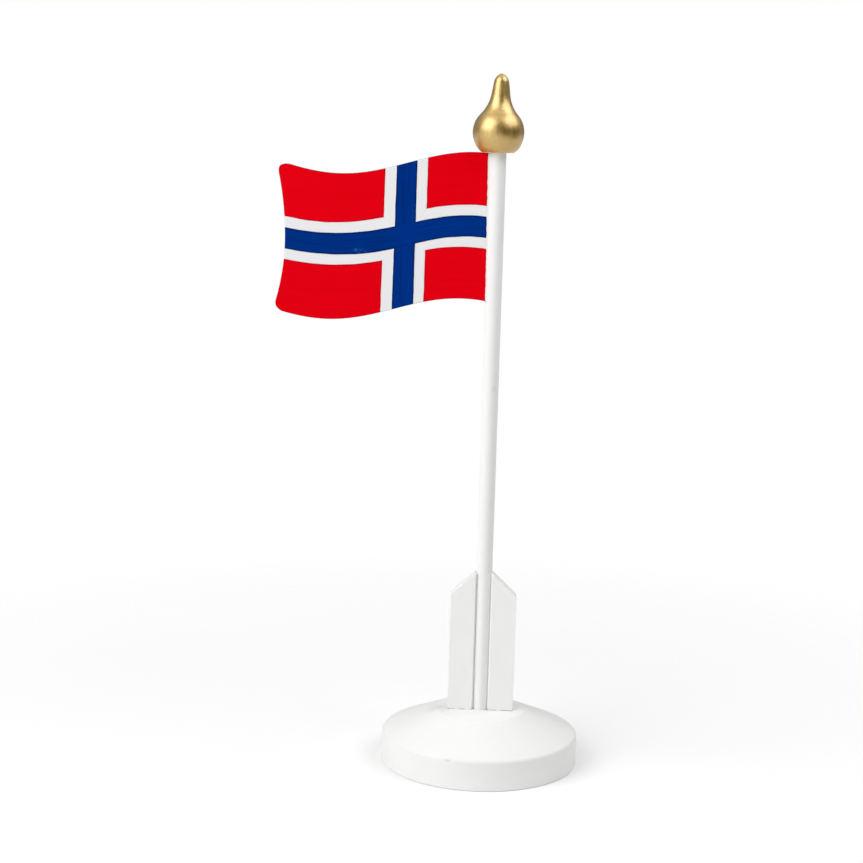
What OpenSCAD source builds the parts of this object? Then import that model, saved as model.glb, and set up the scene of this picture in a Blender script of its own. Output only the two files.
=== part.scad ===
// Table flag of painted wood.
// A turned base carries two upright cheeks. A dowel pole stands between them, dry in a socket,
// and holds a flat wooden flag in a saw-cut slot, with a turned knob glued on top.
// Frame: millimetres, +Z up, origin at the middle of the base's underside, on the pole's axis.
// The front faces -Y and the flag reaches towards -X.

/* [Base] */
// Diameter of the turned base
base_d = 100; // [90:1:115]
// Height of the base at its level middle, where the cheeks stand
base_h = 27; // [24:0.5:30]
// Height of the upright rim, up to the corner where the slope begins
rim_h = 15.4; // [12:0.1:18]
// Diameter of the level middle
land_d = 45; // [40:1:55]
// Rounding of the edge between the rim and the slope
rim_round = 2.2; // [1:0.1:3]
// Rounding of the edge between the slope and the level middle
land_round = 5; // [2:0.5:8]
// Rounding of the edge at the underside
foot_round = 0.8; // [0.4:0.1:1.5]

/* [Pole] */
// Diameter of the dowel, with its paint
pole_d = 8.1; // [7.5:0.1:9]
// Radial clearance of the pole in its socket
socket_play = 0.05; // [0.02:0.01:0.1]
// Depth of the socket in the base
socket_depth = 20; // [15:1:22]
// Bevel at the pole's ends
pole_bevel = 0.5; // [0.3:0.1:0.8]

/* [Cheeks] */
// Width of a cheek, across the front
cheek_w = 12.4; // [10:0.1:15]
// Thickness of a cheek, front to back
cheek_t = 7.6; // [6:0.1:10]
// Height of a cheek beside the pole, above the base
cheek_h = 71.6; // [60:0.1:80]
// Drop of the sloping top, from the pole to the outer side
cheek_drop = 11.3; // [6:0.1:12]
// Rounding of the outer corner at the top
cheek_round = 1.0; // [0.8:0.1:3]
// Gap between a cheek and the pole
cheek_gap = 0.25; // [0.15:0.05:0.5]

/* [Dowel pins] */
// Diameter of the pin between the base and a cheek
pin_d = 4; // [3:0.5:5]
// Length of a pin, half of it in each piece
pin_len = 20; // [16:1:24]
// Bevel at a pin's ends
pin_bevel = 0.5; // [0.3:0.1:0.8]
// Free space round a pin and at its ends, for glue
pin_play = 0.05; // [0.02:0.01:0.1]

/* [Flag] */
// Distance from the pole's axis to the free edge where it comes nearest
flag_reach = 104; // [95:1:110]
// Thickness of the flag's board
flag_t = 3; // [2:0.5:4]
// Mean height of the upper edge above the table
flag_upper = 303.65; // [300:0.05:303.65]
// Mean height of the lower edge above the table
flag_lower = 231.6; // [228:0.05:235]
// Height of a crest of the wave above the mean
wave_rise = 6.1; // [3:0.1:6.1]
// Distance from a crest of the wave to its next trough
half_wave = 66.3; // [60:0.1:75]
// Distance from the pole's axis to the crest of the upper edge
upper_crest = 11; // [5:0.5:15]
// Distance from the pole's axis to the crest of the lower edge
lower_crest = 15.9; // [10:0.1:20]
// Height at which the free edge comes nearest to the pole
fly_z = 264.5; // [260:0.5:270]
// Radius of the free edge's hollow above its middle
fly_hollow_high = 155; // [120:5:200]
// Radius of the free edge's hollow below its middle
fly_hollow_low = 110; // [100:5:200]
// How far the rounding of the upper free corner reaches along the edges
fly_corner_high = 6.8; // [2:0.1:8]
// How far the rounding of the lower free corner reaches along the edges
fly_corner_low = 5.8; // [2:0.1:8]

/* [Slot for the flag] */
// How far the slot's floor lies from the pole's axis
slot_floor = 1.2; // [0.8:0.1:2]
// Free space round the flag's edge in the slot, for glue
slot_play = 0.05; // [0.02:0.01:0.1]

/* [Knob] */
// Height of the knob's flat underside above the table
knob_z = 309.85; // [309.85:0.05:312]
// Radius of the knob's ball
ball_r = 12.65; // [12:0.05:13.5]
// Height of the ball's centre above the knob's underside
ball_z = 9.9; // [9:0.1:10.5]
// Radius of the hollow between the ball and the neck
hollow_r = 18.5; // [16:0.5:22]
// Angle between the neck's side and the knob's axis
neck_taper = 8.7; // [6:0.1:11]
// Half of the width of the ellipse that rounds the tip
tip_r = 3.75; // [3.2:0.05:4.2]
// Half of the height of that ellipse
tip_h = 4.85; // [3.5:0.05:6]
// Height of the knob
knob_h = 38.05; // [37:0.05:40]
// How far the pole goes into the knob
knob_bore_depth = 12; // [8:1:16]

/* [Hidden] */
$fn = 96;

eps = 0.5;                    // how far a cutter passes the face that it cuts
base_r = base_d / 2;
land_r = land_d / 2;
slope_angle = atan2(base_h - rim_h, base_r - land_r);
pole_r = pole_d / 2;
pole_foot = base_h - socket_depth;
pole_top = knob_z + knob_bore_depth;
cheek_inner = pole_r + cheek_gap;
cheek_mid = cheek_inner + cheek_w / 2;
pin_r = pin_d / 2;
pin_hole_len = pin_len + 2 * pin_play;
slot_bottom = lower_edge(pole_r) - slot_play;

// Points on an arc about [x, y], from one angle to another
function arc(x, y, r, from, to, steps) = [
    for (i = [0:steps]) let (a = from + (to - from) * i / steps) [x + r * cos(a), y + r * sin(a)]
];

// Points on a curve that leaves a towards the corner b and arrives at c
function bend(a, b, c, steps) = [
    for (i = [0:steps]) let (t = i / steps) a * (1 - t) ^ 2 + b * 2 * t * (1 - t) + c * t ^ 2
];

// The flag's edges, by the distance u from the pole's axis and the height z
function upper_edge(u) = flag_upper + wave_rise * cos(180 * (u - upper_crest) / half_wave);
function lower_edge(u) = flag_lower + wave_rise * cos(180 * (u - lower_crest) / half_wave);
function fly_edge(z) = flag_reach + (z - fly_z) ^ 2 / (2 * (z > fly_z ? fly_hollow_high : fly_hollow_low));

// Dowel that stands on z = 0, with both ends bevelled
module dowel(r, length, bevel) {
    cylinder(r1 = r - bevel, r2 = r, h = bevel);
    translate([0, 0, bevel]) cylinder(r = r, h = length - 2 * bevel);
    translate([0, 0, length - bevel]) cylinder(r1 = r, r2 = r - bevel, h = bevel);
}

// Turned base: upright rim, straight slope and level middle, with rounded edges
module base_profile() {
    rim_run = rim_round * tan((90 - slope_angle) / 2);
    land_run = land_round * tan(slope_angle / 2);
    polygon(concat(
        [[0, 0]],
        arc(base_r - foot_round, foot_round, foot_round, -90, 0, 4),
        arc(base_r - rim_round, rim_h - rim_run, rim_round, 0, 90 - slope_angle, 6),
        arc(land_r - land_run, base_h - land_round, land_round, 90 - slope_angle, 90, 4),
        [[0, base_h]]
    ));
}

module base() {
    color("white")
    difference() {
        rotate_extrude() base_profile();
        translate([0, 0, pole_foot]) cylinder(r = pole_r + socket_play, h = socket_depth + eps);
        for (side = [-1, 1]) translate([side * cheek_mid, 0, 0]) pin_hole();
    }
}

// Flat board beside the pole, with a top that slopes down to its outer side
module cheek_shape() {
    slope = atan2(cheek_drop, cheek_w);
    run = cheek_round * tan((90 - slope) / 2);
    polygon(concat(
        [[0, 0], [cheek_w, 0]],
        arc(cheek_w - cheek_round, cheek_h - cheek_drop - run, cheek_round, 0, 90 - slope, 5),
        [[0, cheek_h]]
    ));
}

module cheek() {
    difference() {
        translate([cheek_inner, 0, base_h])
            rotate([90, 0, 0]) linear_extrude(cheek_t, center = true) cheek_shape();
        translate([cheek_mid, 0, 0]) pin_hole();
    }
}

module cheek_left() {
    color("white") mirror([1, 0, 0]) cheek();
}

module cheek_right() {
    color("white") cheek();
}

// Glued dowel pin under each cheek, and the hole that it fills in both pieces
module pin_hole() {
    translate([0, 0, base_h - pin_hole_len / 2]) cylinder(r = pin_r + pin_play, h = pin_hole_len);
}

module cheek_pins() {
    color("burlywood")
    for (side = [-1, 1])
        translate([side * cheek_mid, 0, base_h - pin_len / 2]) dowel(pin_r, pin_len, pin_bevel);
}

// Dowel with a slot for the flag, sawn down from its top
module pole() {
    color("white")
    difference() {
        translate([0, 0, pole_foot]) dowel(pole_r, pole_top - pole_foot, pole_bevel);
        translate([-pole_r - eps, -flag_t / 2 - slot_play, slot_bottom])
            cube([pole_r + eps - slot_floor, flag_t + 2 * slot_play, pole_top - slot_bottom + eps]);
    }
}

// Flat board cut to a waving outline, with its straight end in the pole's slot
module flag_outline() {
    steps = 36;
    fly_steps = 12;
    hoist = slot_floor + slot_play;
    top_u = fly_edge(upper_edge(flag_reach));
    low_u = fly_edge(lower_edge(flag_reach));
    top_z = upper_edge(top_u);
    low_z = lower_edge(low_u);
    top_start = [top_u - fly_corner_high, upper_edge(top_u - fly_corner_high)];
    top_end = [fly_edge(top_z - fly_corner_high), top_z - fly_corner_high];
    low_start = [fly_edge(low_z + fly_corner_low), low_z + fly_corner_low];
    low_end = [low_u - fly_corner_low, lower_edge(low_u - fly_corner_low)];
    polygon(concat(
        [[hoist, upper_edge(pole_r)]],
        [for (i = [0:steps - 1])
            let (u = pole_r + (top_start[0] - pole_r) * i / steps) [u, upper_edge(u)]],
        bend(top_start, [top_u, top_z], top_end, 6),
        [for (i = [1:fly_steps - 1])
            let (z = top_end[1] + (low_start[1] - top_end[1]) * i / fly_steps) [fly_edge(z), z]],
        bend(low_start, [low_u, low_z], low_end, 6),
        [for (i = [steps - 1:-1:0])
            let (u = pole_r + (low_end[0] - pole_r) * i / steps) [u, lower_edge(u)]],
        [[hoist, lower_edge(pole_r)]]
    ));
}

module flag() {
    color("red")
    mirror([1, 0, 0]) rotate([90, 0, 0]) linear_extrude(flag_t, center = true) flag_outline();
}

// Turned knob: a ball with a flat underside, drawn up through a hollow and a tapering neck to a
// rounded tip. Each stretch leaves the last one without a corner
module knob_profile() {
    tip_steps = 8;
    tip_turn = atan(tip_h / tip_r * tan(neck_taper));
    neck_top = [tip_r * cos(tip_turn), knob_h - tip_h + tip_h * sin(tip_turn)];
    out = [cos(neck_taper), sin(neck_taper)];
    down = [sin(neck_taper), -cos(neck_taper)];
    // The hollow's centre lies beside the neck, as far from the ball's centre as both radii reach
    start = neck_top + hollow_r * out - [0, ball_z];
    neck_len = -start * down - sqrt((start * down) ^ 2 - start * start + (ball_r + hollow_r) ^ 2);
    hollow = start + neck_len * down;
    meet = atan2(hollow[1], hollow[0]);
    polygon(concat(
        [[0, 0]],
        arc(0, ball_z, ball_r, -asin(ball_z / ball_r), meet, 16),
        arc(hollow[0], ball_z + hollow[1], hollow_r, 180 + meet, 180 + neck_taper, 9),
        [for (i = [0:tip_steps])
            let (a = tip_turn + (90 - tip_turn) * i / tip_steps)
            [tip_r * cos(a), knob_h - tip_h + tip_h * sin(a)]]
    ));
}

module finial() {
    color("gold")
    translate([0, 0, knob_z])
    difference() {
        rotate_extrude() knob_profile();
        translate([0, 0, -eps])
            cylinder(r = pole_r + slot_play, h = knob_bore_depth + slot_play + eps);
    }
}

base();
cheek_left();
cheek_right();
cheek_pins();
pole();
flag();
finial();
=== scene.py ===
"""Looks of a painted wooden table flag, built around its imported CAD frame.

Every finer piece takes its place and size from the CAD node that it stands for. Lengths are in
metres, in the frame's axes: +Z up, the front towards -Y, and the flag towards -X of the pole.
"""

import math

import bmesh
import bpy
import numpy as np
from mathutils import Matrix, Vector, noise


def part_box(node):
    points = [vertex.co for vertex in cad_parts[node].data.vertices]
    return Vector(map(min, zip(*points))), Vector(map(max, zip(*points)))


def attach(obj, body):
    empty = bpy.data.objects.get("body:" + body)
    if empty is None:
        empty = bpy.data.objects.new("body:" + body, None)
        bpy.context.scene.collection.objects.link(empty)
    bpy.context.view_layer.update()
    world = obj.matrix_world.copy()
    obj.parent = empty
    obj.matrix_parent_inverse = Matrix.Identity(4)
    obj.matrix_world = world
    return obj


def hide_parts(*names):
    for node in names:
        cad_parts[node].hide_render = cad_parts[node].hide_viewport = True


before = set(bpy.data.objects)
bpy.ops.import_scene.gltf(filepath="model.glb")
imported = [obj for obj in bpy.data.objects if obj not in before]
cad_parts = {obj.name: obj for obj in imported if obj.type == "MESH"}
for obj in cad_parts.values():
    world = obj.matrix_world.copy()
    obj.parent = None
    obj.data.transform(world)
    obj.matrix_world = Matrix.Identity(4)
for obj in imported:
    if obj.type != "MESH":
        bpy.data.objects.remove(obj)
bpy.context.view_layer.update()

MM = 0.001
# Two places nearer than this are the same
TINY = 1e-8

# How far the edges are rounded that the CAD leaves sharp: the flag's, the cheeks' and the one
# round the knob's foot
EDGE_ROUND = 0.45 * MM
CHEEK_EDGE_ROUND = 0.2 * MM
KNOB_EDGE_ROUND = 0.9 * MM

# The base's profile, between the sizes that its box gives
RIM_HEIGHT = 15.4 * MM
RIM_ROUND = 2.2 * MM
LAND_RADIUS = 22.5 * MM
LAND_ROUND = 5.0 * MM
FOOT_ROUND = 0.8 * MM
# The room round the pole in the base's socket and in the knob's bore, and the rounding of the
# socket's mouth
SOCKET_PLAY, SOCKET_MOUTH = 0.05 * MM, 0.3 * MM
# How far inside its profile the turned surface lies on average at the rim, sideways and
# downwards, and the heights over which the second begins
BASE_UNEVEN, BASE_SINK = 0.07 * MM, 0.05 * MM
SINK_BEGIN = (12 * MM, 16 * MM)
# A small chip in the rim's edge: its place, depth and reach
BASE_CHIP, CHIP_DEPTH, CHIP_REACH = Vector((-15.0, -47.4, 14.5)) * MM, 0.42 * MM, 1.1 * MM

# The cheeks, by what make_cheek takes: side, node, drop, shoulder, lean_in and bead
CHEEKS = ((-1, "cheek_left", 10.8 * MM, 0.9 * MM, 0.0, 0.85 * MM),
          (1, "cheek_right", 11.6 * MM, 1.3 * MM, 0.15 * MM, 0.8 * MM))
# The bead of paint beside the pole: how far in from the board's faces it has its full size, and
# how far it stays clear of the CAD's pole
BEAD_RISE, BEAD_PLAY = 1.5 * MM, 0.12 * MM
# How far inside the CAD's faces the cheeks' faces lie on average
CHEEK_UNEVEN = 0.02 * MM

# The bevel of the pole's ends, and the room round the flag in the pole's slot
POLE_BEVEL, SLOT_PLAY = 0.5 * MM, 0.05 * MM
# How uneven the dowel is between the cheeks and the flag, and the heights over which that
# begins and ends
POLE_UNEVEN = 0.05 * MM
UNEVEN_BEGIN, UNEVEN_END = (100 * MM, 130 * MM), (215 * MM, 232 * MM)

# The flag's outline: two waving edges and a hollow free edge. Distances away from the pole, u
# below, are from the pole's axis
UPPER_MEAN, UPPER_CREST = 303.65 * MM, 11.0 * MM
LOWER_MEAN, LOWER_CREST = 231.6 * MM, 15.9 * MM
WAVE_RISE, HALF_WAVE = 6.1 * MM, 66.3 * MM
FLY_REACH, FLY_MIDDLE = 104.0 * MM, 264.5 * MM
FLY_HOLLOW_HIGH, FLY_HOLLOW_LOW = 155.0 * MM, 110.0 * MM
FLY_TOP_ROUND, FLY_LOW_ROUND = 5.8 * MM, 4.95 * MM

# The painted cross: a waving bar and an upright one, each blue between two white stripes. The
# upright bar's lines are given by their distance from the pole at the other bar's height, and
# their slant
BAR_MEAN, BAR_RISE, BAR_CREST, BAR_HALF_WAVE = 268.41 * MM, 5.31 * MM, 13.0 * MM, 68.5 * MM
BAR_SAG = 0.6 * MM
BLUE_HALF = 5.25 * MM
WHITE_ABOVE, WHITE_BELOW = 10.55 * MM, 10.45 * MM
UPRIGHT_EDGES = ((34.45 * MM, 0.007), (39.5 * MM, 0.005), (49.85 * MM, 0.013), (55.35 * MM, 0.0145))
# Where the brush strayed from even stripes: distance from the pole, reach, and how far up
WHITE_STRAY = (34 * MM, 15 * MM, 0.75 * MM)
BLUE_STRAY = (58 * MM, 20 * MM, -0.55 * MM)
# How far the upper white stripe's width swings along the wave
UPPER_WHITE_SWING = 0.2 * MM
# Where the colours end beside the pole, and the slant of that line
HOIST_LINE, HOIST_SLANT = 4.45 * MM, 0.0115
# The thin layers of paint, how wide their edges slope, and the ridge along the blue's edge.
# The wood under them is a little uneven
WHITE_PAINT_DEPTH, BLUE_PAINT_DEPTH, RIDGE_DEPTH = 0.03 * MM, 0.05 * MM, 0.03 * MM
PAINT_SLOPE = (-0.1 * MM, 0.15 * MM)
RIDGE_PLACE, RIDGE_REACH = 0.35 * MM, 0.25 * MM
FLAG_UNEVEN = 0.012 * MM

# The flag's colours, in the order of its material slots
RED, WHITE, BLUE, POLE_WHITE = range(4)
# The zones away from the pole, and those up the flag: colour, cells and rough width. A cell
# beside the edge of a zone is a fine one
ACROSS = ((POLE_WHITE, 6, 3.2 * MM), (RED, 44, 29.8 * MM), (WHITE, 10, 5.0 * MM),
          (BLUE, 18, 10.3 * MM), (WHITE, 10, 5.5 * MM), (RED, 68, 49.0 * MM))
UPWARDS = ((RED, 38, 26.0 * MM), (WHITE, 10, 5.0 * MM), (BLUE, 18, 10.4 * MM),
           (WHITE, 10, 5.2 * MM), (RED, 38, 24.5 * MM))
FINE_CELL = 0.12 * MM
# The strokes of the brush: their length and width on the flag
STROKE_LENGTH, STROKE_WIDTH = 22 * MM, 0.7 * MM

# The knob's profile: a ball, a hollow, a tapering neck and a tip rounded as an ellipse
BALL_RADIUS, BALL_RISE = 12.65 * MM, 9.9 * MM
HOLLOW_RADIUS, NECK_TAPER = 18.5 * MM, 8.7
TIP_RADIUS, TIP_HEIGHT = 3.75 * MM, 4.85 * MM
KNOB_BORE_DEPTH = 12.0 * MM
# Where the hand-turned knob strays from that profile: height, reach and growth of its radius
KNOB_STRAYS = ((1.8 * MM, 2.0 * MM, 0.28 * MM), (19.0 * MM, 6.0 * MM, -0.16 * MM),
               (37.5 * MM, 2.0 * MM, -0.3 * MM))
# How far the knob leans over, between which heights, and how far its ball sits off the pole's
# axis
KNOB_LEAN, KNOB_LEAN_FROM, KNOB_LEAN_TO = 0.67 * MM, 14 * MM, 34 * MM
KNOB_OFFSET = -0.17 * MM
# Its broad and its fine unevenness
KNOB_UNEVEN, KNOB_TREMBLE = 0.10 * MM, 0.03 * MM

# Grey patches in the paint, by place, size and strength: a painted shadow beside the left cheek
# and a darker spot in the chip, and on the pole a mark halfway up and a speck at the flag's lower
# corner
BASE_SHADOW_AND_MARKS = ((Vector((-22.0, -2.0, 26.3)) * MM, Vector((8.0, 6.0, 4.0)) * MM, 0.2),
                (BASE_CHIP, Vector((2.4, 1.5, 0.8)) * MM, 0.35))
POLE_MARKS = ((Vector((1.7, -3.7, 193.4)) * MM, Vector((2.2, 1.6, 2.2)) * MM, 0.13),
              (Vector((-4.2, -1.6, 236.7)) * MM, Vector((0.9, 1.3, 1.1)) * MM, 0.95))
# A worn patch in the blue, by place, size and colour
BLUE_SCUFFS = ((Vector((-66.4, -1.5, 260.1)) * MM, Vector((4.4, 1.0, 1.6)) * MM,
                (0.04, 0.13, 0.38)),)

# Colours that the paints mix in: a dark brown for the painted shade and cracks along the cheeks'
# feet, and a grey for the marks and the painted shadow beside the left cheek
CRACK_AND_SHADE_TONE, MARK_AND_SHADOW_TONE = (0.25, 0.20, 0.15), (0.42, 0.42, 0.37)
GOLD_TONE, GOLD_DEEP_TONE = (0.625, 0.402, 0.095), (0.555, 0.348, 0.074)
GOLD_FOOT_TONE = (0.60, 0.37, 0.045)
GOLD_STREAK_TONE, GOLD_FLAKE_TONE = (0.75, 0.55, 0.20), (0.68, 0.49, 0.15)
BEECH_TONE, BEECH_DEEP_TONE = (0.66, 0.46, 0.27), (0.50, 0.32, 0.17)
BEECH_FLECK_TONE = (0.36, 0.20, 0.10)

# The camera, by its place before the pole's foot and the way that it is held
CAMERA_DISTANCE, CAMERA_HEIGHT = 968.3 * MM, 338.8 * MM
CAMERA_PAN, CAMERA_TILT, CAMERA_ROLL = -1.707, 9.872, 1.604
CAMERA_LENS, CAMERA_SENSOR = 81.69, 36.0

# The floor, and how far from the pole's foot it begins to fade and is gone
FLOOR_HALF, FLOOR_FADE = 1.6, (0.10, 0.45)
# The softboxes: name, azimuth, elevation, distance, size and radiance. All aim at LIGHT_TARGET
LIGHT_TARGET = Vector((-0.02, 0.0, 0.17))
LIGHTS = (("key", -46, 19.6, 1.7, (2.2, 2.05), 0.58),
          ("key_core", -54, 38, 1.65, (1.4, 1.35), 2.1),
          ("side", 78, 48, 1.5, (1.6, 0.95), 2.0))
# The light of the room, and its sides that differ: azimuth, elevation, the angles from there
# between which each fades into the rest, and its light
ROOM_LEVEL = 0.3
ROOM_SIDES = ((0, 90, 35, 65, 0.78), (0, -90, 72, 92, 0.95), (12, 34, 8, 24, 0.05),
              (30, 14, 20, 38, 0.02), (72, 8, 20, 40, 0.02))


# ---------------------------------------------------------------- curves and meshes

def smooth_step(value, start, end):
    """0 at start, 1 at end, and an even rise between them."""
    t = min(max((value - start) / (end - start), 0.0), 1.0)
    return t * t * (3.0 - 2.0 * t)


def mixed(start, end, share):
    """The value that lies that share of the way from start to end."""
    return start + (end - start) * share


def ripple(x, y, z, size, seed):
    """Smooth noise from about -1 to 1 at a point, with bumps of about the given size."""
    return noise.noise(Vector((x / size + seed * 17.3, y / size - seed * 5.1, z / size)))


def hump(distance, reach):
    """1 at no distance, and a smooth fall to almost nothing at twice the reach."""
    return math.exp(-(distance / reach) ** 2)


def line(start, end, step):
    """Points from start to end, both included, at most a step apart."""
    count = max(1, math.ceil(math.dist(start, end) / step))
    return [(mixed(start[0], end[0], i / count), mixed(start[1], end[1], i / count))
            for i in range(count + 1)]


def arc(centre, radius, start, end, count):
    """Points on an arc, from one angle to another, in degrees."""
    angles = np.radians(np.linspace(start, end, count + 1))
    return [(centre[0] + radius * math.cos(a), centre[1] + radius * math.sin(a)) for a in angles]


def joined(*runs):
    """One list of points from several runs, without the points that repeat."""
    points = []
    for run in runs:
        repeats = bool(points) and math.dist(run[0], points[-1]) <= TINY
        points += run[1:] if repeats else run
    return points


def make_piece(name, points, faces, materials, face_materials=None):
    """A closed, smooth-shaded mesh object with its normals facing out."""
    mesh = bpy.data.meshes.new(name)
    mesh.from_pydata(points, [], faces)
    for material in materials:
        mesh.materials.append(material)
    if face_materials is not None:
        mesh.polygons.foreach_set("material_index", face_materials)
    mesh.polygons.foreach_set("use_smooth", [True] * len(faces))
    shell = bmesh.new()
    shell.from_mesh(mesh)
    bmesh.ops.recalc_face_normals(shell, faces=shell.faces)
    shell.to_mesh(mesh)
    shell.free()
    piece = bpy.data.objects.new(name, mesh)
    bpy.context.scene.collection.objects.link(piece)
    return piece


def stand_for(piece, node, body):
    """The piece stands for a CAD node, whose mesh it hides, and rides on its body."""
    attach(piece, body)
    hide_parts(node)


def lathe(name, profile, segments, material, shape):
    """Turns a profile of (radius, height) points, from the axis round the outside and back to
    the axis, into a closed piece. shape moves each point a little, as a hand tool does."""
    points, rings = [], []
    for radius, height in profile:
        if radius < TINY:
            rings.append([len(points)] * segments)
            points.append(shape(0.0, 0.0, height))
            continue
        rings.append(list(range(len(points), len(points) + segments)))
        for i in range(segments):
            a = 2 * math.pi * i / segments
            points.append(shape(radius * math.cos(a), radius * math.sin(a), height))
    faces = []
    for low, high in zip(rings, rings[1:]):
        for i in range(segments):
            k = (i + 1) % segments
            faces.append(list(dict.fromkeys((low[i], low[k], high[k], high[i]))))
    return make_piece(name, points, faces, [material])


def outward_at(outline):
    """For each point of a closed outline, the step that moves its two sides out by one."""
    after = np.roll(outline, -1, axis=0)
    area = np.sum(outline[:, 0] * after[:, 1] - outline[:, 1] * after[:, 0])
    side = after - outline
    side = side / np.linalg.norm(side, axis=1)[:, None]
    normal = np.stack((side[:, 1], -side[:, 0]), axis=1) * np.sign(area)
    both = normal + np.roll(normal, 1, axis=0)
    return both / np.sum(both * normal, axis=1)[:, None]


def board(name, face, thickness, edge, relief, materials, cell_materials):
    """A flat upright board, from a grid of (x, z) points over its face that stops one edge
    rounding short of the outline. relief gives how far the face stands out at a point. The
    colours of the face run on round the edge, and the attribute "rim" is 1 there."""
    rows, columns = face.shape[:2]
    rim = ([(i, 0) for i in range(rows)] + [(rows - 1, j) for j in range(1, columns)]
           + [(i, columns - 1) for i in range(rows - 2, -1, -1)]
           + [(0, j) for j in range(columns - 2, 0, -1)])
    outline = np.array([face[i, j] for i, j in rim])
    outward = outward_at(outline)
    half = thickness / 2
    height = [[relief(*face[i, j]) for j in range(columns)] for i in range(rows)]
    points, faces, slots = [], [], []
    # The front and then the back
    for side in (-1, 1):
        first = len(points)
        points += [(face[i, j, 0], side * (half + height[i][j]), face[i, j, 1])
                   for i in range(rows) for j in range(columns)]
        for i in range(rows - 1):
            for j in range(columns - 1):
                corner = first + i * columns + j
                faces.append([corner, corner + columns, corner + columns + 1, corner + 1])
                slots.append(cell_materials[i][j])
    # Loops of points round the rim, from the front over the edge to the back
    corner_turns = [math.radians(a) for a in (22.5, 45.0, 67.5, 90.0)]
    rounding = [(edge * math.sin(a), half - edge * (1 - math.cos(a))) for a in corner_turns]
    flat = [(edge, y) for y in np.linspace(edge - half, half - edge, 6)[1:-1]]
    section = [(out, -y) for out, y in rounding] + flat + rounding[::-1]
    loops = [[i * columns + j for i, j in rim]]
    nearness = [0.0] * len(points)
    for out, y in section:
        loops.append(list(range(len(points), len(points) + len(rim))))
        points += [(x, y, z) for x, z in outline + outward * out]
        nearness += [out / edge] * len(rim)
    loops.append([rows * columns + index for index in loops[0]])
    for low, high in zip(loops, loops[1:]):
        for n in range(len(rim)):
            k = (n + 1) % len(rim)
            faces.append([low[n], low[k], high[k], high[n]])
            i, j = (min(rim[n][axis], rim[k][axis]) for axis in (0, 1))
            slots.append(cell_materials[min(i, rows - 2)][min(j, columns - 2)])
    piece = make_piece(name, points, faces, materials, slots)
    piece.data.attributes.new("rim", "FLOAT", "POINT").data.foreach_set("value", nearness)
    return piece


def shares(count, width, fine):
    """Shares of the way through a zone, from 0 to 1, with one fine cell at each end."""
    near = fine / width
    return [0.0] + [mixed(near, 1 - near, i / (count - 2)) for i in range(count - 1)] + [1.0]


def rounded_corner(a, b, reach):
    """Distances from a corner's two sides, moved so that the corner becomes round."""
    if a >= reach or b >= reach:
        return a, b
    p, q = 1 - a / reach, 1 - b / reach
    return reach * (1 - p * math.sqrt(1 - q * q / 2)), reach * (1 - q * math.sqrt(1 - p * p / 2))


# ---------------------------------------------------------------- materials

class Paint:
    """A material, built up node by node around one Principled shader."""

    def __init__(self, name, roughness, specular=0.5, metallic=0.0):
        self.material = bpy.data.materials.new(name)
        self.material.use_nodes = True
        self.tree = self.material.node_tree
        self.shader = self.tree.nodes["Principled BSDF"]
        self.shader.inputs["Roughness"].default_value = roughness
        self.shader.inputs["Specular IOR Level"].default_value = specular
        self.shader.inputs["Metallic"].default_value = metallic
        self.place = self.add("TexCoord").outputs["Object"]

    def add(self, kind, settings=None, **inputs):
        """A new node, with its settings and with a value or a link for each input."""
        node = self.tree.nodes.new("ShaderNode" + kind)
        for key, value in (settings or {}).items():
            setattr(node, key, value)
        for key, value in inputs.items():
            socket = node.inputs[int(key[1:])] if key[1:].isdigit() else node.inputs[key]
            if isinstance(value, bpy.types.NodeSocket):
                self.tree.links.new(value, socket)
            else:
                socket.default_value = value
        return node

    def connect(self, output, name):
        """Links an output to the shader's input of that name."""
        self.tree.links.new(output, self.shader.inputs[name])

    def attribute(self, name, output="Fac"):
        """What the mesh's vertices keep under that name."""
        return self.add("Attribute", {"attribute_name": name}).outputs[output]

    def grain(self, per_metre, detail=3.0, source=None):
        """Noise from 0 to 1, with so many bumps per metre along each axis."""
        moved = self.add("Mapping", Vector=source or self.place, Scale=per_metre)
        return self.add("TexNoise", Vector=moved.outputs[0], Scale=1.0, Detail=detail).outputs[0]

    def spread(self, value, low, high, to_low=0.0, to_high=1.0):
        """The value, with the range from low to high stretched to another range."""
        ranged = self.add("MapRange", Value=value)
        ends = (("From Min", low), ("From Max", high), ("To Min", to_low), ("To Max", to_high))
        for name, number in ends:
            ranged.inputs[name].default_value = number
        return ranged.outputs[0]

    def maths(self, operation, a, b):
        """Two values put together by a mathematical operation."""
        return self.add("Math", {"operation": operation}, _0=a, _1=b).outputs[0]

    def blend(self, share, colour_a, colour_b):
        """From colour_a where share is 0 to colour_b where it is 1."""
        node = self.add("Mix", {"data_type": "RGBA"}, _0=share)
        for socket, value in ((node.inputs[6], colour_a), (node.inputs[7], colour_b)):
            if isinstance(value, bpy.types.NodeSocket):
                self.tree.links.new(value, socket)
            else:
                socket.default_value = (*value, 1.0)
        return node.outputs[2]

    def spot(self, centre, size):
        """Distance from a point, where 1 is the surface of an ellipsoid of that size round it."""
        scale = [1 / s for s in size]
        moved = self.add("Mapping", Vector=self.place, Scale=scale,
                         Location=[-c * k for c, k in zip(centre, scale)])
        return self.add("VectorMath", {"operation": "LENGTH"}, _0=moved.outputs[0]).outputs["Value"]

    def emboss(self, heights):
        """Bumps from (height, distance) pairs: heights from 0 to 1, distances in metres."""
        total = None
        for height, distance in heights:
            scaled = self.maths("MULTIPLY", height, distance / MM)
            total = scaled if total is None else self.maths("ADD", total, scaled)
        bump = self.add("Bump", Height=total, Strength=1.0, Distance=MM)
        self.connect(bump.outputs[0], "Normal")
        self.connect(bump.outputs[0], "Coat Normal")


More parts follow.
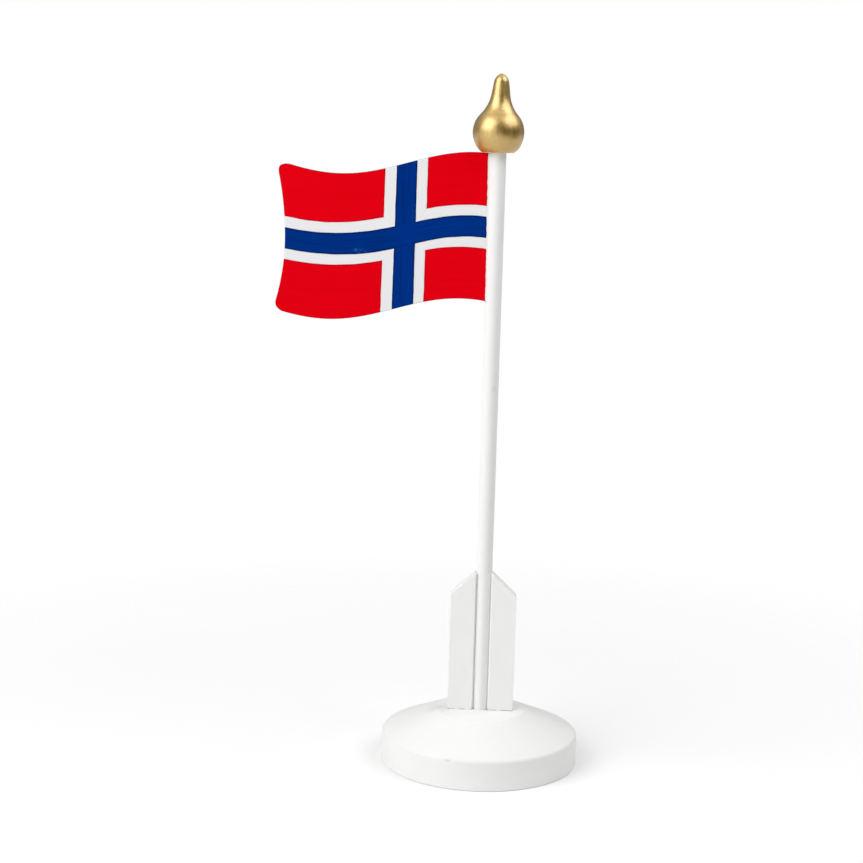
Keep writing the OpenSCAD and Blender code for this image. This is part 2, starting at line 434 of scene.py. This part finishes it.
def white_paint(name, grain_scale, tone, dull=0.5, joint=None, shadows_and_marks=()):
    """Satin white paint, thin enough that the wood's grain still shows. joint is the height of
    a joint along which a thin dark line is painted: painted shade in the crevice there, broken
    up like cracked paint. shadows_and_marks are the places, sizes and strengths of grey
    patches, one of them a painted shadow."""
    paint = Paint(name, roughness=dull, specular=0.35)
    grain = paint.grain(grain_scale, detail=5.0)
    cloud = paint.grain((45.0, 45.0, 45.0))
    brush = paint.grain(tuple(0.45 * s for s in grain_scale), detail=2.0)
    peel = paint.grain((1400.0, 1400.0, 1400.0), detail=1.0)
    # Warmer in faint clouds, and thinner along the lines of the grain
    warm = tuple(0.965 * c for c in tone[:2]) + (0.94 * tone[2],)
    soft = paint.blend(paint.spread(cloud, 0.35, 0.65, 0.0, 0.35), tone, warm)
    lines = paint.spread(grain, 0.56, 0.72, 0.0, 0.30)
    thin = tuple(0.93 * c for c in tone[:2]) + (0.88 * tone[2],)
    colour = paint.blend(lines, soft, thin)
    # A thin dark line along the joint: painted shade in the crevice at the cheeks' feet, broken up
    # like cracked paint
    if joint is not None:
        height = paint.add("SeparateXYZ", Vector=paint.place).outputs["Z"]
        near = paint.spread(height, joint + 0.15 * MM, joint + 0.45 * MM, 0.85, 0.0)
        broken = paint.spread(paint.grain((420.0, 420.0, 420.0), detail=2.0), 0.34, 0.56)
        colour = paint.blend(paint.maths("MULTIPLY", near, broken), colour, CRACK_AND_SHADE_TONE)
    # Grey patches; the one beside the left cheek is a painted shadow of the cheek
    for centre, size, strength in shadows_and_marks:
        mark_and_shadow = paint.spread(paint.spot(centre, size), 0.3, 1.0, strength, 0.0)
        colour = paint.blend(mark_and_shadow, colour, MARK_AND_SHADOW_TONE)
    paint.connect(colour, "Base Color")
    paint.connect(paint.spread(brush, 0.3, 0.7, dull - 0.07, dull + 0.09), "Roughness")
    paint.emboss([(grain, 0.020 * MM), (brush, 0.030 * MM), (peel, 0.004 * MM)])
    return paint.material


def flag_paint(name, tone, deep, specular, streaks, line_and_rim_shade, lined, rim_shade, scuffs=()):
    """Hand-brushed paint. The strokes run along the bars, and the paint is deeper in tone
    where it has gathered along the edge of a field. line_and_rim_shade is the colour of a thin
    dark line: lined says how strong it is where two fields meet, as the paint's own overlap, and
    rim_shade how strong it is along the board's rounded edge, where it is painted shade.
    scuffs are the places, sizes and colours of worn patches."""
    paint = Paint(name, roughness=0.5, specular=specular)
    strokes = paint.attribute("stroke", "Vector")
    fine = paint.grain((1.0, 1.0, 1.0), detail=4.0, source=strokes)
    broad = paint.grain((0.35, 0.35, 0.35), detail=2.0, source=strokes)
    cloud = paint.grain((60.0, 60.0, 60.0))
    edge = paint.attribute("edge")
    shade = paint.spread(paint.maths("ADD", fine, broad), 0.75, 1.25, 0.0, streaks)
    gathered = paint.spread(edge, 0.0, 1.1, streaks * 1.3, 0.0)
    mottle = paint.spread(cloud, 0.4, 0.7, 0.0, 0.5 * streaks)
    share = paint.maths("ADD", paint.maths("ADD", shade, gathered), mottle)
    # The thin dark line: between fields the paint's own overlap, along the board's rounded edge
    # painted shade
    rim = paint.attribute("rim")
    line_share = paint.maths("MAXIMUM", paint.spread(edge, 0.1, 0.55, lined, 0.0),
                             paint.spread(rim, 0.3, 0.9, 0.0, rim_shade))
    colour = paint.blend(line_share, paint.blend(share, tone, deep), line_and_rim_shade)
    for centre, size, worn_tone in scuffs:
        patch = paint.spread(paint.spot(centre, size), 0.5, 1.0, 0.8, 0.0)
        scratches = paint.spread(paint.grain((1100.0, 1100.0, 1100.0), detail=1.0), 0.5, 0.62)
        colour = paint.blend(paint.maths("MULTIPLY", patch, scratches), colour, worn_tone)
    paint.connect(colour, "Base Color")
    paint.connect(paint.spread(broad, 0.3, 0.7, 0.42, 0.58), "Roughness")
    peel = paint.grain((1100.0, 1100.0, 1100.0), detail=1.0)
    paint.emboss([(fine, 0.020 * MM), (broad, 0.035 * MM), (peel, 0.004 * MM)])
    return paint.material


def gold_paint(foot):
    """Satin gold paint over turned wood, with fine flakes and faint marks of the brush. It is
    duller and warmer towards the knob's foot, whose height is given."""
    paint = Paint("gold_paint", roughness=0.41, specular=0.5, metallic=0.96)
    paint.shader.inputs["Specular Tint"].default_value = (0.40, 0.32, 0.22, 1.0)
    paint.shader.inputs["Coat Weight"].default_value = 1.0
    paint.shader.inputs["Coat Roughness"].default_value = 0.24
    paint.shader.inputs["Coat IOR"].default_value = 1.9
    flakes = paint.grain((5200.0, 5200.0, 5200.0), detail=2.0)
    marks = paint.grain((1500.0, 1500.0, 130.0), detail=3.0)
    dents = paint.grain((190.0, 190.0, 150.0), detail=3.0)
    cloud = paint.grain((110.0, 110.0, 80.0))
    height = paint.add("SeparateXYZ", Vector=paint.place).outputs["Z"]
    body = paint.blend(paint.spread(cloud, 0.35, 0.65), GOLD_TONE, GOLD_DEEP_TONE)
    warm_foot = paint.spread(height, foot + 2 * MM, foot + 11 * MM, 0.6, 0.0)
    body = paint.blend(warm_foot, body, GOLD_FOOT_TONE)
    streaked = paint.blend(paint.spread(marks, 0.42, 0.66, 0.0, 0.45), body, GOLD_STREAK_TONE)
    flaked = paint.blend(paint.spread(flakes, 0.45, 0.75, 0.0, 0.45), streaked, GOLD_FLAKE_TONE)
    paint.connect(flaked, "Base Color")
    dull_foot = paint.spread(height, foot + 2 * MM, foot + 10 * MM, 0.28, 0.0)
    dull = paint.maths("ADD", paint.spread(marks, 0.3, 0.7, 0.36, 0.46), dull_foot)
    paint.connect(dull, "Roughness")
    paint.emboss([(dents, 0.080 * MM), (marks, 0.065 * MM), (flakes, 0.0035 * MM)])
    return paint.material


def bare_wood():
    """Unpainted beech, for the hidden dowel pins."""
    paint = Paint("bare_beech", roughness=0.62, specular=0.3)
    grain = paint.grain((1600.0, 1600.0, 60.0), detail=5.0)
    flecks = paint.grain((2600.0, 2600.0, 420.0), detail=1.0)
    body = paint.blend(paint.spread(grain, 0.35, 0.65), BEECH_TONE, BEECH_DEEP_TONE)
    flecked = paint.blend(paint.spread(flecks, 0.6, 0.7, 0.0, 0.6), body, BEECH_FLECK_TONE)
    paint.connect(flecked, "Base Color")
    paint.emboss([(grain, 0.03 * MM), (flecks, 0.01 * MM)])
    return paint.material


# ---------------------------------------------------------------- base, cheeks and pole

def make_base(material):
    """Turned disc with an upright rim, a sloping top and a socket for the pole."""
    low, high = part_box("base")
    pole_low, pole_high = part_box("pole")
    radius, height = high.x, high.z
    bore, floor = pole_high.x + SOCKET_PLAY, pole_low.z
    slope = math.degrees(math.atan2(height - RIM_HEIGHT, radius - LAND_RADIUS))
    rim_run = RIM_ROUND * math.tan(math.radians(90 - slope) / 2)
    land_run = LAND_ROUND * math.tan(math.radians(slope) / 2)
    foot = arc((radius - FOOT_ROUND, low.z + FOOT_ROUND), FOOT_ROUND, -90, 0, 6)
    rim = arc((radius - RIM_ROUND, RIM_HEIGHT - rim_run), RIM_ROUND, 0, 90 - slope, 12)
    land = arc((LAND_RADIUS - land_run, height - LAND_ROUND), LAND_ROUND, 90 - slope, 90, 8)
    mouth = arc((bore + SOCKET_MOUTH, height - SOCKET_MOUTH), SOCKET_MOUTH, 90, 180, 4)
    profile = joined(line((0, low.z), foot[0], 4 * MM), foot,
                     line(foot[-1], rim[0], 0.8 * MM), rim,
                     line(rim[-1], land[0], 1.0 * MM), land,
                     line(land[-1], mouth[0], 1.5 * MM), mouth,
                     line(mouth[-1], (bore, floor), 2 * MM),
                     line((bore, floor), (0, floor), 2 * MM))

    def shape(x, y, z):
        """Uneven and chipped outside the level middle, and above the foot."""
        r = math.hypot(x, y)
        if r < LAND_RADIUS or z < FOOT_ROUND:
            return x, y, z
        outside = smooth_step(r, LAND_RADIUS, radius)
        stretch = 1 - BASE_UNEVEN / radius * outside * (1 + ripple(x, y, z, 16 * MM, 1))
        on_top = smooth_step(z, *SINK_BEGIN)
        sink = BASE_SINK * outside * (1 + ripple(x, y, z, 12 * MM, 2)) * on_top
        away = (Vector((x, y, z)) - BASE_CHIP).length
        nick = CHIP_DEPTH * hump(away, CHIP_REACH)
        stretch -= nick / radius
        return x * stretch, y * stretch, z - sink - nick

    piece = lathe("turned_base", profile, 288, material, shape)
    stand_for(piece, "base", "stand")


def add_bead(piece, side, inner, half, bead):
    """Moves a cheek's inner side towards the pole where paint has run into the corner between
    them. It stays clear of the pole, which lifts out past it. inner is how far from the pole's
    axis that side lies, and half is half of the board's thickness."""
    pole_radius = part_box("pole")[1].x
    limit = inner + CHEEK_EDGE_ROUND / 2
    for vertex in piece.data.vertices:
        reach, depth = side * vertex.co.x, abs(vertex.co.y)
        if reach < limit:
            painted = reach - bead * smooth_step(-depth, -half, -half + BEAD_RISE)
            free = math.sqrt(max(pole_radius ** 2 - depth ** 2, 0.0)) + BEAD_PLAY
            vertex.co.x = side * max(min(free, reach), painted)


def make_cheek(side, node, drop, shoulder, lean_in, bead, material):
    """Upright board beside the pole. side is -1 on the flag's side of the pole and 1 on the
    other, drop is how far its top falls, shoulder how far the rounding of its outer corner
    reaches, lean_in how much nearer to the pole its inner side lies than in the frame, and
    bead how far the paint has run into the corner between the board and the pole."""
    low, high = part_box(node)
    width, foot, apex = high.x - low.x, low.z, high.z
    inner = high.x if side < 0 else low.x
    fall = drop / width
    inset = CHEEK_EDGE_ROUND * math.hypot(1, fall)
    # The face's cells across the board and along it
    across, along = 26, 120
    face = np.zeros((across + 1, along + 1, 2))
    for i in range(across + 1):
        for j in range(along + 1):
            s = mixed(CHEEK_EDGE_ROUND - lean_in, width - CHEEK_EDGE_ROUND, i / across)
            top = apex - fall * s - inset
            z = mixed(foot + CHEEK_EDGE_ROUND, top, j / along)
            to_side, to_top = rounded_corner(width - CHEEK_EDGE_ROUND - s, top - z, shoulder)
            s = width - CHEEK_EDGE_ROUND - to_side
            z = apex - fall * s - inset - to_top
            face[i, j] = inner + side * s, z

    def relief(x, z):
        """Slightly uneven, a little inside the CAD's face."""
        wave = ripple(x, 0, z, 7 * MM, 3 + side) + 0.5 * ripple(x * 8, 0, z, 9 * MM, 6 + side)
        return -CHEEK_UNEVEN * (1 + wave)

    cells = [[0] * along for _ in range(across)]
    piece = board(node + "_board", face, high.y - low.y, CHEEK_EDGE_ROUND, relief, [material],
                  cells)
    add_bead(piece, side, side * inner, high.y, bead)
    stand_for(piece, node, "stand")


def make_pole(material):
    """Dowel with bevelled ends, slotted from its top to take the flag's edge."""
    low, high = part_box("pole")
    radius = high.x
    # The slot runs over lip segments on each side of the line that faces the flag
    segments, lip = 96, 6
    middle = segments // 2
    slot_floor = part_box("flag")[1].x + SLOT_PLAY
    slot_bottom = lower_edge(radius) - SLOT_PLAY
    levels = joined([(radius - POLE_BEVEL, low.z)],
                    line((radius, low.z + POLE_BEVEL), (radius, slot_bottom), 1.5 * MM),
                    line((radius, slot_bottom), (radius, high.z - POLE_BEVEL), 2 * MM),
                    [(radius - POLE_BEVEL, high.z)])

    def shape(x, y, z):
        """Uneven where neither the cheeks nor the flag are near."""
        free = smooth_step(z, *UNEVEN_BEGIN) * smooth_step(-z, -UNEVEN_END[1], -UNEVEN_END[0])
        swell = POLE_UNEVEN * ripple(x, y, z, 14 * MM, 11) * free / radius
        return x * (1 + swell), y * (1 + swell), z

    def ring_points(r, z):
        """A full ring of points."""
        angles = [2 * math.pi * i / segments for i in range(segments)]
        return [shape(r * math.cos(a), r * math.sin(a), z) for a in angles]

    points, faces = [], []
    lower = [level for level in levels if level[1] <= slot_bottom + TINY]
    upper = [level for level in levels if level[1] >= slot_bottom - TINY]
    # Up to the slot's floor there are full rings
    start = 0
    points += ring_points(*lower[0])
    faces.append(list(range(segments)))
    for r, z in lower[1:]:
        points += ring_points(r, z)
        for i in range(segments):
            k = (i + 1) % segments
            faces.append([start + i, start + k, start + segments + k, start + segments + i])
        start += segments
    # Above the slot's floor a ring runs from lip to lip the long way round, then in and out
    outer = [(middle + lip + n) % segments for n in range(segments - 2 * lip + 1)]
    ring = [start + i for i in outer]
    half_slot = radius * math.sin(2 * math.pi * lip / segments)

    def inner_points(z):
        """The two inner corners of the slot."""
        return [(slot_floor, side * half_slot, z) for side in (1, -1)]

    points += inner_points(slot_bottom)
    ring += [len(points) - 2, len(points) - 1]
    faces.append([start + middle + n for n in range(-lip, lip + 1)] + [ring[-1], ring[-2]])
    for r, z in upper[1:]:
        circle = ring_points(r, z)
        new = list(range(len(points), len(points) + len(ring)))
        points += [circle[i] for i in outer] + inner_points(z)
        for n in range(len(ring)):
            k = (n + 1) % len(ring)
            faces.append([ring[n], ring[k], new[k], new[n]])
        ring = new
    faces.append(ring)
    piece = make_piece("dowel_pole", points, faces, [material])
    stand_for(piece, "pole", "mast")


# ---------------------------------------------------------------- flag

def wave(u, mean, rise, crest, half_wave):
    """Height of a waving line, whose crest lies at the distance crest from the pole."""
    return mean + rise * math.cos(math.pi * (u - crest) / half_wave)


def upper_edge(u):
    """Height of the flag's upper edge."""
    return wave(u, UPPER_MEAN, WAVE_RISE, UPPER_CREST, HALF_WAVE)


def lower_edge(u):
    """Height of the flag's lower edge."""
    return wave(u, LOWER_MEAN, WAVE_RISE, LOWER_CREST, HALF_WAVE)


def fly_edge(z):
    """Distance from the pole of the flag's free edge."""
    hollow = FLY_HOLLOW_HIGH if z > FLY_MIDDLE else FLY_HOLLOW_LOW
    return FLY_REACH + (z - FLY_MIDDLE) ** 2 / (2 * hollow)


def bar_middle(u):
    """Height of the waving bar's middle line."""
    phase = math.pi * (u - BAR_CREST) / BAR_HALF_WAVE
    return BAR_MEAN + BAR_RISE * math.cos(phase) - BAR_SAG * math.sin(phase) ** 2


def unsteady(along, seed):
    """How far a hand-painted line strays from its true place."""
    sway = 0.13 * MM * ripple(along, 0, 0, 6 * MM, seed)
    tremble = 0.05 * MM * ripple(along, 0, 0, 1.7 * MM, seed + 9)
    return sway + tremble


def bar_lines(u):
    """Heights of the waving bar's four lines, from the lower white to the upper white. The
    brush has strayed from even stripes on both sides of the upright bar."""
    turn = math.cos(2 * math.pi * (u - BAR_CREST) / BAR_HALF_WAVE)
    white_lift, blue_lift = (rise * hump(u - place, reach)
                             for place, reach, rise in (WHITE_STRAY, BLUE_STRAY))
    offsets = (-WHITE_BELOW + white_lift, -BLUE_HALF + blue_lift, BLUE_HALF,
               WHITE_ABOVE - UPPER_WHITE_SWING * turn)
    return [bar_middle(u) + offset + unsteady(u, 20 + n) for n, offset in enumerate(offsets)]


def upright_lines(z):
    """Distances from the pole of the upright bar's four lines, from the pole outwards."""
    return [u + slant * (BAR_MEAN - z) + unsteady(z, 30 + n)
            for n, (u, slant) in enumerate(UPRIGHT_EDGES)]


def hoist_line(z):
    """Where the flag's colours end beside the pole."""
    ragged = 0.22 * MM * ripple(0, 0, z, 3.2 * MM, 41) + 0.10 * MM * ripple(0, 0, z, 1.1 * MM, 42)
    return HOIST_LINE + HOIST_SLANT * (z - BAR_MEAN) + ragged


def field_colour(zone_across, zone_up):
    """The colour where a zone away from the pole meets a zone up the flag."""
    pair = (ACROSS[zone_across][0], UPWARDS[zone_up][0])
    for colour in (POLE_WHITE, BLUE, WHITE):
        if colour in pair:
            return colour
    return RED


def inside(value, low, high):
    """How deep a value lies between two others, or below 0 how far outside."""
    return min(value - low, high - value)


def grid_lines(zones):
    """The lines of a grid over some zones, each by its zone and how far through that it is."""
    lines = [(zone, share) for zone, (_, cells, width) in enumerate(zones)
             for share in shares(cells, width, FINE_CELL)[:-1]]
    return lines + [(len(zones) - 1, 1.0)]


def flag_grid(slot_end):
    """A grid over the flag whose lines follow the outline and the painted lines, and the zone
    that each of its cells lies in, away from the pole and up. slot_end is where the grid
    starts inside the pole's slot."""
    across, upwards = grid_lines(ACROSS), grid_lines(UPWARDS)

    def upper(u):
        """The grid's upper limit."""
        return upper_edge(u) - EDGE_ROUND

    def lower(u):
        """The grid's lower limit."""
        return lower_edge(u) + EDGE_ROUND

    face = np.zeros((len(across), len(upwards), 2))
    for i, (zone_a, share_a) in enumerate(across):
        for j, (zone_b, share_b) in enumerate(upwards):
            z = mixed(LOWER_MEAN, UPPER_MEAN, j / (len(upwards) - 1))
            # The lines across depend on the height and the others on the distance, so a point
            # comes to its place in a few rounds
            for _ in range(4):
                stops = [slot_end, hoist_line(z), *upright_lines(z), fly_edge(z) - EDGE_ROUND]
                u = mixed(stops[zone_a], stops[zone_a + 1], share_a)
                stops = [lower(u), *bar_lines(u), upper(u)]
                z = mixed(stops[zone_b], stops[zone_b + 1], share_b)
            for reach, gap, edge_line, way in ((FLY_TOP_ROUND, upper(u) - z, upper, -1),
                                               (FLY_LOW_ROUND, z - lower(u), lower, 1)):
                to_fly, to_edge = rounded_corner(fly_edge(z) - EDGE_ROUND - u, gap, reach)
                if gap < reach:
                    u = fly_edge(z) - EDGE_ROUND - to_fly
                    z = edge_line(u) + way * to_edge
            face[i, j] = -u, z
    return face, [zone for zone, _ in across[:-1]], [zone for zone, _ in upwards[:-1]]


def cross_depths(x, z):
    """How deep a point of the flag lies in the blue, and in the cross as a whole."""
    bar, upright = bar_lines(-x), upright_lines(z)
    blue = max(inside(z, bar[1], bar[2]), inside(-x, upright[1], upright[2]))
    cross = max(inside(z, bar[0], bar[3]), inside(-x, upright[0], upright[3]))
    return blue, cross


def paint_relief(x, z):
    """How far the layers of paint stand out at a point of the flag."""
    blue, cross = cross_depths(x, z)
    return (WHITE_PAINT_DEPTH * smooth_step(cross, *PAINT_SLOPE)
            + BLUE_PAINT_DEPTH * smooth_step(blue, *PAINT_SLOPE)
            + RIDGE_DEPTH * hump(blue - RIDGE_PLACE, RIDGE_REACH)
            + FLAG_UNEVEN * ripple(x, 0, z, 9 * MM, 50))


def make_flag(colours):
    """Board cut to a waving outline, with the cross painted on both of its faces."""
    low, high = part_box("flag")
    face, zones_across, zones_up = flag_grid(-high.x + EDGE_ROUND)
    cells = [[field_colour(a, b) for b in zones_up] for a in zones_across]
    piece = board("flag_board", face, high.y - low.y, EDGE_ROUND, paint_relief, colours, cells)
    # For the paint: where each point lies in the strokes of the brush, and how far it is from
    # the nearest painted line, in millimetres
    strokes, edges = [], []
    for vertex in piece.data.vertices:
        x, z = vertex.co.x, vertex.co.z
        blue, cross = cross_depths(x, z)
        upright = upright_lines(z)
        bar = bar_lines(-x)
        stands = inside(-x, upright[0], upright[3]) > 0 and inside(z, bar[1], bar[2]) < 0
        along, over = (z, -x) if stands else (-x, z - bar_middle(-x))
        layer = (7.0 if stands else 0.0) + vertex.co.y / (4 * MM)
        strokes += [along / STROKE_LENGTH, over / STROKE_WIDTH, layer]
        edges.append(min(abs(blue), abs(cross), abs(x + hoist_line(z))) / MM)
    attributes = piece.data.attributes
    attributes.new("stroke", "FLOAT_VECTOR", "POINT").data.foreach_set("vector", strokes)
    attributes.new("edge", "FLOAT", "POINT").data.foreach_set("value", edges)
    stand_for(piece, "flag", "mast")


# ---------------------------------------------------------------- knob

def make_knob(material):
    """Turned knob: a ball with a flat underside, drawn up through a hollow and a tapering neck
    to a rounded tip. Each stretch leaves the last one without a corner."""
    low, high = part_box("finial")
    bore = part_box("pole")[1].x + SOCKET_PLAY
    foot, top = low.z, high.z
    ball = foot + BALL_RISE
    taper = math.radians(NECK_TAPER)
    tip_turn = math.atan(TIP_HEIGHT / TIP_RADIUS * math.tan(taper))
    tip = [(TIP_RADIUS * math.cos(a), top - TIP_HEIGHT + TIP_HEIGHT * math.sin(a))
           for a in np.linspace(tip_turn, math.pi / 2, 22)]
    # The hollow's centre lies beside the neck, as far from the ball's centre as both radii reach
    down = Vector((math.sin(taper), -math.cos(taper)))
    aside = Vector((math.cos(taper), math.sin(taper)))
    start = Vector(tip[0]) + HOLLOW_RADIUS * aside - Vector((0, ball))
    along = start.dot(down)
    both_radii = BALL_RADIUS + HOLLOW_RADIUS
    neck_length = -along - math.sqrt(along ** 2 - start.length_squared + both_radii ** 2)
    hollow = start + neck_length * down
    meet = math.degrees(math.atan2(hollow.y, hollow.x))
    waist = arc((hollow.x, ball + hollow.y), HOLLOW_RADIUS, 180 + meet, 180 + NECK_TAPER, 32)
    tip[-1] = (0.0, top)
    # The small edge round lies inside the ball and on the flat
    centre_x = math.sqrt((BALL_RADIUS - KNOB_EDGE_ROUND) ** 2 - (BALL_RISE - KNOB_EDGE_ROUND) ** 2)
    edge_turn = -math.degrees(math.atan2(BALL_RISE - KNOB_EDGE_ROUND, centre_x))
    edge = arc((centre_x, foot + KNOB_EDGE_ROUND), KNOB_EDGE_ROUND, -90, edge_turn, 8)
    roof = foot + KNOB_BORE_DEPTH
    profile = joined([(0.0, roof)], line((bore, roof), (bore, foot), 2 * MM),
                     line((bore, foot), edge[0], 1 * MM), edge,
                     arc((0, ball), BALL_RADIUS, edge_turn, meet, 56), waist,
                     line(waist[-1], tip[0], 0.6 * MM), tip)

    def shape(x, y, z):
        """Leaning and uneven, except in the bore."""
        if math.hypot(x, y) < bore + TINY and z < roof + TINY:
            return x, y, z
        lean = KNOB_LEAN * smooth_step(z, foot + KNOB_LEAN_FROM, foot + KNOB_LEAN_TO) + KNOB_OFFSET
        uneven = (KNOB_UNEVEN * ripple(x, y, z, 9 * MM, 61)
                  + KNOB_TREMBLE * ripple(x, y, z, 3 * MM, 62))
        swell = 1 + uneven / BALL_RADIUS
        for height, reach, growth in KNOB_STRAYS:
            stray = growth * hump(z - foot - height, reach)
            swell += stray / max(math.hypot(x, y), 2 * MM)
        return x * swell + lean, y * swell, z

    piece = lathe("gold_knob", profile, 192, material, shape)
    stand_for(piece, "finial", "mast")


# ---------------------------------------------------------------- stage

def make_floor():
    """Plain pale floor that fades out far from the object."""
    paint = Paint("floor", roughness=0.9, specular=0.0)
    paint.shader.inputs["Base Color"].default_value = (0.93, 0.93, 0.93, 1.0)
    corners = [(x * FLOOR_HALF, y * FLOOR_HALF, 0) for x, y in ((-1, -1), (1, -1), (1, 1), (-1, 1))]
    floor = make_piece("floor", corners, [[0, 1, 2, 3]], [paint.material])
    distance = paint.add("VectorMath", {"operation": "LENGTH"}, _0=paint.place).outputs["Value"]
    gone = paint.spread(distance, *FLOOR_FADE)
    clear = paint.add("BsdfTransparent")
    mix = paint.add("MixShader", _0=gone, _1=paint.shader.outputs[0], _2=clear.outputs[0])
    output = paint.tree.nodes["Material Output"]
    paint.tree.links.new(mix.outputs[0], output.inputs[0])


def direction(azimuth, elevation):
    """Unit vector to a side of the room. Azimuth 0 is in front of the object, and 90 to the
    right as seen from there."""
    a, e = math.radians(azimuth), math.radians(elevation)
    return Vector((math.sin(a) * math.cos(e), -math.cos(a) * math.cos(e), math.sin(e)))


def make_light(name, azimuth, elevation, distance, size, radiance):
    """Softbox aimed at the object's middle, that the eye doesn't see."""
    way = direction(azimuth, elevation)
    lamp = bpy.data.lights.new(name, "AREA")
    lamp.shape = "RECTANGLE"
    lamp.size, lamp.size_y = size
    lamp.energy = radiance * math.pi * size[0] * size[1]
    light = bpy.data.objects.new(name, lamp)
    light.location = LIGHT_TARGET + way * distance
    light.rotation_euler = (-way).to_track_quat("-Z", "Y").to_euler()
    light.visible_camera = False
    bpy.context.scene.collection.objects.link(light)


def make_world():
    """White surroundings for the eye, and a soft room with darker sides for the light."""
    world = bpy.data.worlds.new("studio")
    bpy.context.scene.world = world
    world.use_nodes = True
    nodes, links = world.node_tree.nodes, world.node_tree.links
    background = nodes["Background"]
    background.inputs["Color"].default_value = (1.0, 1.0, 1.0, 1.0)
    way = nodes.new("ShaderNodeTexCoord").outputs["Generated"]
    strength = None
    for azimuth, elevation, near, far, level in ROOM_SIDES:
        dot = nodes.new("ShaderNodeVectorMath")
        dot.operation = "DOT_PRODUCT"
        links.new(way, dot.inputs[0])
        dot.inputs[1].default_value = direction(azimuth, elevation)
        share = nodes.new("ShaderNodeMapRange")
        share.interpolation_type = "SMOOTHSTEP"
        links.new(dot.outputs["Value"], share.inputs["Value"])
        share.inputs["From Min"].default_value = math.cos(math.radians(far))
        share.inputs["From Max"].default_value = math.cos(math.radians(near))
        mix = nodes.new("ShaderNodeMix")
        links.new(share.outputs[0], mix.inputs[0])
        mix.inputs[2].default_value = ROOM_LEVEL
        if strength:
            links.new(strength, mix.inputs[2])
        mix.inputs[3].default_value = level
        strength = mix.outputs[0]
    seen = nodes.new("ShaderNodeLightPath").outputs["Is Camera Ray"]
    mix = nodes.new("ShaderNodeMix")
    links.new(seen, mix.inputs[0])
    links.new(strength, mix.inputs[2])
    mix.inputs[3].default_value = 1.0
    links.new(mix.outputs[0], background.inputs["Strength"])


def make_camera():
    """Camera at the height of the knob, a metre in front, looking a little down."""
    camera = bpy.data.cameras.new("camera")
    camera.sensor_width, camera.lens = CAMERA_SENSOR, CAMERA_LENS
    camera.clip_start, camera.clip_end = 0.05, 20.0
    holder = bpy.data.objects.new("camera", camera)
    turn = (Matrix.Rotation(-math.radians(CAMERA_PAN), 4, "Z")
            @ Matrix.Rotation(math.radians(90 - CAMERA_TILT), 4, "X")
            @ Matrix.Rotation(math.radians(CAMERA_ROLL), 4, "Z"))
    holder.matrix_world = Matrix.Translation((0, -CAMERA_DISTANCE, CAMERA_HEIGHT)) @ turn
    bpy.context.scene.collection.objects.link(holder)
    bpy.context.scene.camera = holder


# ---------------------------------------------------------------- build

make_camera()
make_world()
make_floor()
for light in LIGHTS:
    make_light(*light)
bpy.context.scene.view_settings.view_transform = "Standard"

# The base, the cheeks and the pole share one white paint in three tones: the base's darker and the
# cheeks' lighter tone are painted shade and light, for how the lamps fall on its top and on upright
# faces
turned_white = white_paint("turned_white", grain_scale=(260.0, 900.0, 900.0),
                           tone=(0.86, 0.86, 0.852), shadows_and_marks=BASE_SHADOW_AND_MARKS)
upright_white = white_paint("upright_white", grain_scale=(1100.0, 1100.0, 28.0),
                            tone=(0.952, 0.948, 0.944), joint=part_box("base")[1].z)
pole_white = white_paint("pole_white", grain_scale=(800.0, 800.0, 30.0), tone=(0.92, 0.92, 0.91),
                         dull=0.4, shadows_and_marks=POLE_MARKS)
make_base(turned_white)
for cheek in CHEEKS:
    make_cheek(*cheek, upright_white)
make_pole(pole_white)
# Each flag paint's dark tone lines where fields meet, and along the board's rounded edge it is
# painted shade
flag_red = flag_paint("flag_red", tone=(0.845, 0.0, 0.007), deep=(0.74, 0.0, 0.004),
                      specular=0.01, streaks=0.35, line_and_rim_shade=(0.20, 0.0, 0.008), lined=0.6, rim_shade=0.95)
flag_white = flag_paint("flag_white", tone=(0.915, 0.905, 0.915), deep=(0.85, 0.84, 0.86),
                        specular=0.25, streaks=0.5, line_and_rim_shade=(0.30, 0.26, 0.26), lined=0.0, rim_shade=0.7)
flag_blue = flag_paint("flag_blue", tone=(0.0, 0.035, 0.275), deep=(0.0, 0.022, 0.16),
                       specular=0.01, streaks=0.6, line_and_rim_shade=(0.0, 0.010, 0.05), lined=0.8, rim_shade=0.8,
                       scuffs=BLUE_SCUFFS)
make_flag([flag_red, flag_white, flag_blue, pole_white])
make_knob(gold_paint(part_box("finial")[0].z))
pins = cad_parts["cheek_pins"]
pins.data.materials.clear()
pins.data.materials.append(bare_wood())
